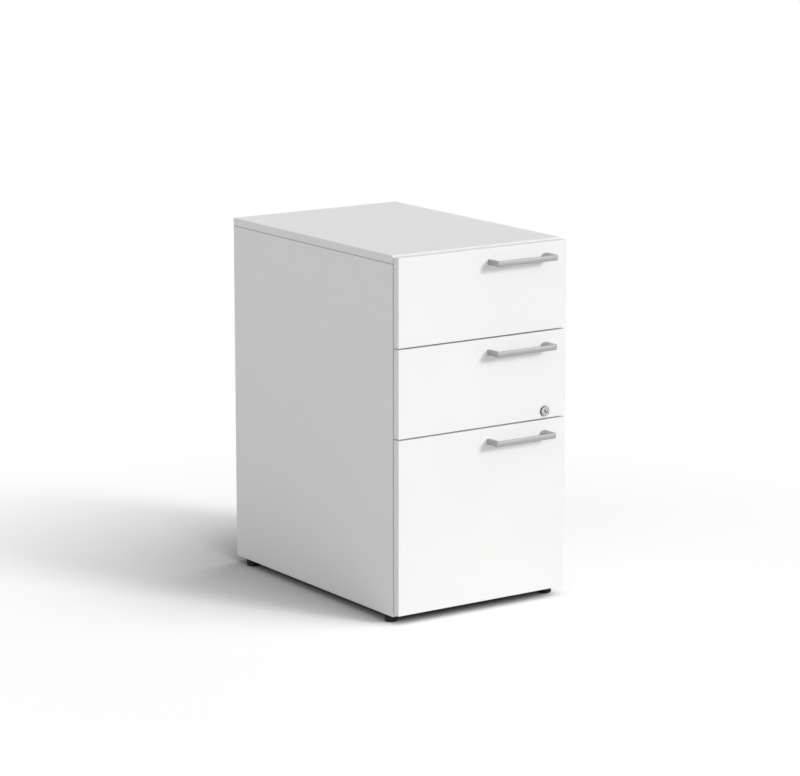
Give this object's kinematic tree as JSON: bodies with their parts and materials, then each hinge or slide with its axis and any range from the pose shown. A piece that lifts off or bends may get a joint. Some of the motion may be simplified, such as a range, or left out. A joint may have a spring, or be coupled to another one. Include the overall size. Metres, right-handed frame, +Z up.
{
  "type": "drawer pedestal",
  "caption": "Free-standing white office pedestal with box drawers over a file drawer on ball slides, bow handles, a gang lock and levelling glides.",
  "frame": {"origin": "on the floor under the middle of the whole outline, handles included", "axes": "+Z up, drawers open towards -Y, +X is the right side as seen from the front"},
  "size_m": [0.392, 0.618, 0.711],
  "materials": {
    "white_laminate": "white melamine laminate on particle board with banded edges",
    "drawer_board": "pale grey melamine drawer board",
    "satin_metal": "satin silver-grey cast handle",
    "lock_metal": "bright plated lock",
    "zinc_steel": "bright zinc plated sheet steel",
    "bright_steel": "polished bearing steel",
    "black_plastic": "black moulded plastic"
  },
  "bodies": {
    "carcass": {"top_panel": "white_laminate", "left_side_panel": "white_laminate", "right_side_panel": "white_laminate", "bottom_panel": "white_laminate", "back_panel": "white_laminate", "cam_fittings": "zinc_steel", "glide_inserts": "zinc_steel", "slide_screws": "zinc_steel", "lock_bar_guides": "zinc_steel", "top_left_slide_rail": "zinc_steel", "top_right_slide_rail": "zinc_steel", "middle_left_slide_rail": "zinc_steel", "middle_right_slide_rail": "zinc_steel", "file_left_slide_rail": "zinc_steel", "file_right_slide_rail": "zinc_steel"},
    "top_drawer": {"top_drawer_front": "white_laminate", "top_drawer_left_side": "drawer_board", "top_drawer_right_side": "drawer_board", "top_drawer_back": "drawer_board", "top_drawer_base": "drawer_board", "top_drawer_handle": "satin_metal", "top_drawer_screws": "zinc_steel", "top_drawer_cam_fittings": "zinc_steel", "top_left_slide_runner": "zinc_steel", "top_right_slide_runner": "zinc_steel"},
    "middle_drawer": {"middle_drawer_front": "white_laminate", "middle_drawer_left_side": "drawer_board", "middle_drawer_right_side": "drawer_board", "middle_drawer_back": "drawer_board", "middle_drawer_base": "drawer_board", "middle_drawer_handle": "satin_metal", "middle_drawer_screws": "zinc_steel", "middle_drawer_cam_fittings": "zinc_steel", "middle_left_slide_runner": "zinc_steel", "middle_right_slide_runner": "zinc_steel", "lock_housing": "lock_metal", "lock_nut": "zinc_steel"},
    "file_drawer": {"file_drawer_front": "white_laminate", "file_drawer_left_side": "drawer_board", "file_drawer_right_side": "drawer_board", "file_drawer_back": "drawer_board", "file_drawer_base": "drawer_board", "file_drawer_handle": "satin_metal", "file_drawer_screws": "zinc_steel", "file_drawer_cam_fittings": "zinc_steel", "file_left_slide_runner": "zinc_steel", "file_right_slide_runner": "zinc_steel", "file_hanger_rails": "zinc_steel"},
    "file_slide_carriages": {"file_left_slide_carriage": "zinc_steel", "file_right_slide_carriage": "zinc_steel"},
    "top_cages": {"top_ball_cages": "bright_steel"},
    "middle_cages": {"middle_ball_cages": "bright_steel"},
    "file_rear_cages": {"file_rear_ball_cages": "bright_steel"},
    "file_front_cages": {"file_front_ball_cages": "bright_steel"},
    "lock_core": {"lock_core": "lock_metal"},
    "lock_bar": {"lock_bar": "zinc_steel"},
    "front_left_glide": {"front_left_glide": "black_plastic"},
    "front_right_glide": {"front_right_glide": "black_plastic"},
    "rear_left_glide": {"rear_left_glide": "black_plastic"},
    "rear_right_glide": {"rear_right_glide": "black_plastic"}
  },
  "joints": [
    {"name": "top_drawer_slide", "type": "slide", "parent": "carcass", "child": "top_drawer", "axis": [0, -1, 0], "range_m": [0, 0.375]},
    {"name": "middle_drawer_slide", "type": "slide", "parent": "carcass", "child": "middle_drawer", "axis": [0, -1, 0], "range_m": [0, 0.375]},
    {"name": "file_drawer_slide", "type": "slide", "parent": "carcass", "child": "file_drawer", "axis": [0, -1, 0], "range_m": [0, 0.5]},
    {"name": "lock_turn", "type": "hinge", "parent": "middle_drawer", "child": "lock_core", "pos_m": [0.146, -0.2782, 0.378], "axis": [0, -1, 0], "range_deg": [0, 90]},
    {"name": "lock_bar_lift", "type": "slide", "parent": "carcass", "child": "lock_bar", "axis": [0, 0, 1], "range_m": [0, 0.00848]},
    {"name": "file_carriage_slide", "type": "slide", "parent": "carcass", "child": "file_slide_carriages", "axis": [0, -1, 0], "range_m": [0, 0.25]},
    {"name": "top_cage_roll", "type": "slide", "parent": "carcass", "child": "top_cages", "axis": [0, -1, 0], "range_m": [0, 0.1875]},
    {"name": "middle_cage_roll", "type": "slide", "parent": "carcass", "child": "middle_cages", "axis": [0, -1, 0], "range_m": [0, 0.1875]},
    {"name": "file_rear_cage_roll", "type": "slide", "parent": "carcass", "child": "file_rear_cages", "axis": [0, -1, 0], "range_m": [0, 0.125]},
    {"name": "file_front_cage_roll", "type": "slide", "parent": "carcass", "child": "file_front_cages", "axis": [0, -1, 0], "range_m": [0, 0.375]},
    {"name": "front_left_glide_screw", "type": "slide", "parent": "carcass", "child": "front_left_glide", "axis": [0, 0, -1], "range_m": [0, 0.01]},
    {"name": "front_right_glide_screw", "type": "slide", "parent": "carcass", "child": "front_right_glide", "axis": [0, 0, -1], "range_m": [0, 0.01]},
    {"name": "rear_left_glide_screw", "type": "slide", "parent": "carcass", "child": "rear_left_glide", "axis": [0, 0, -1], "range_m": [0, 0.01]},
    {"name": "rear_right_glide_screw", "type": "slide", "parent": "carcass", "child": "rear_right_glide", "axis": [0, 0, -1], "range_m": [0, 0.01]}
  ],
  "couplings": [
    {"joint": "lock_turn", "follows": "lock_bar_lift", "rad_per_m": 185.1},
    {"joint": "file_carriage_slide", "follows": "file_drawer_slide", "ratio": 0.5},
    {"joint": "file_rear_cage_roll", "follows": "file_drawer_slide", "ratio": 0.25},
    {"joint": "file_front_cage_roll", "follows": "file_drawer_slide", "ratio": 0.75},
    {"joint": "top_cage_roll", "follows": "top_drawer_slide", "ratio": 0.5},
    {"joint": "middle_cage_roll", "follows": "middle_drawer_slide", "ratio": 0.5}
  ]
}
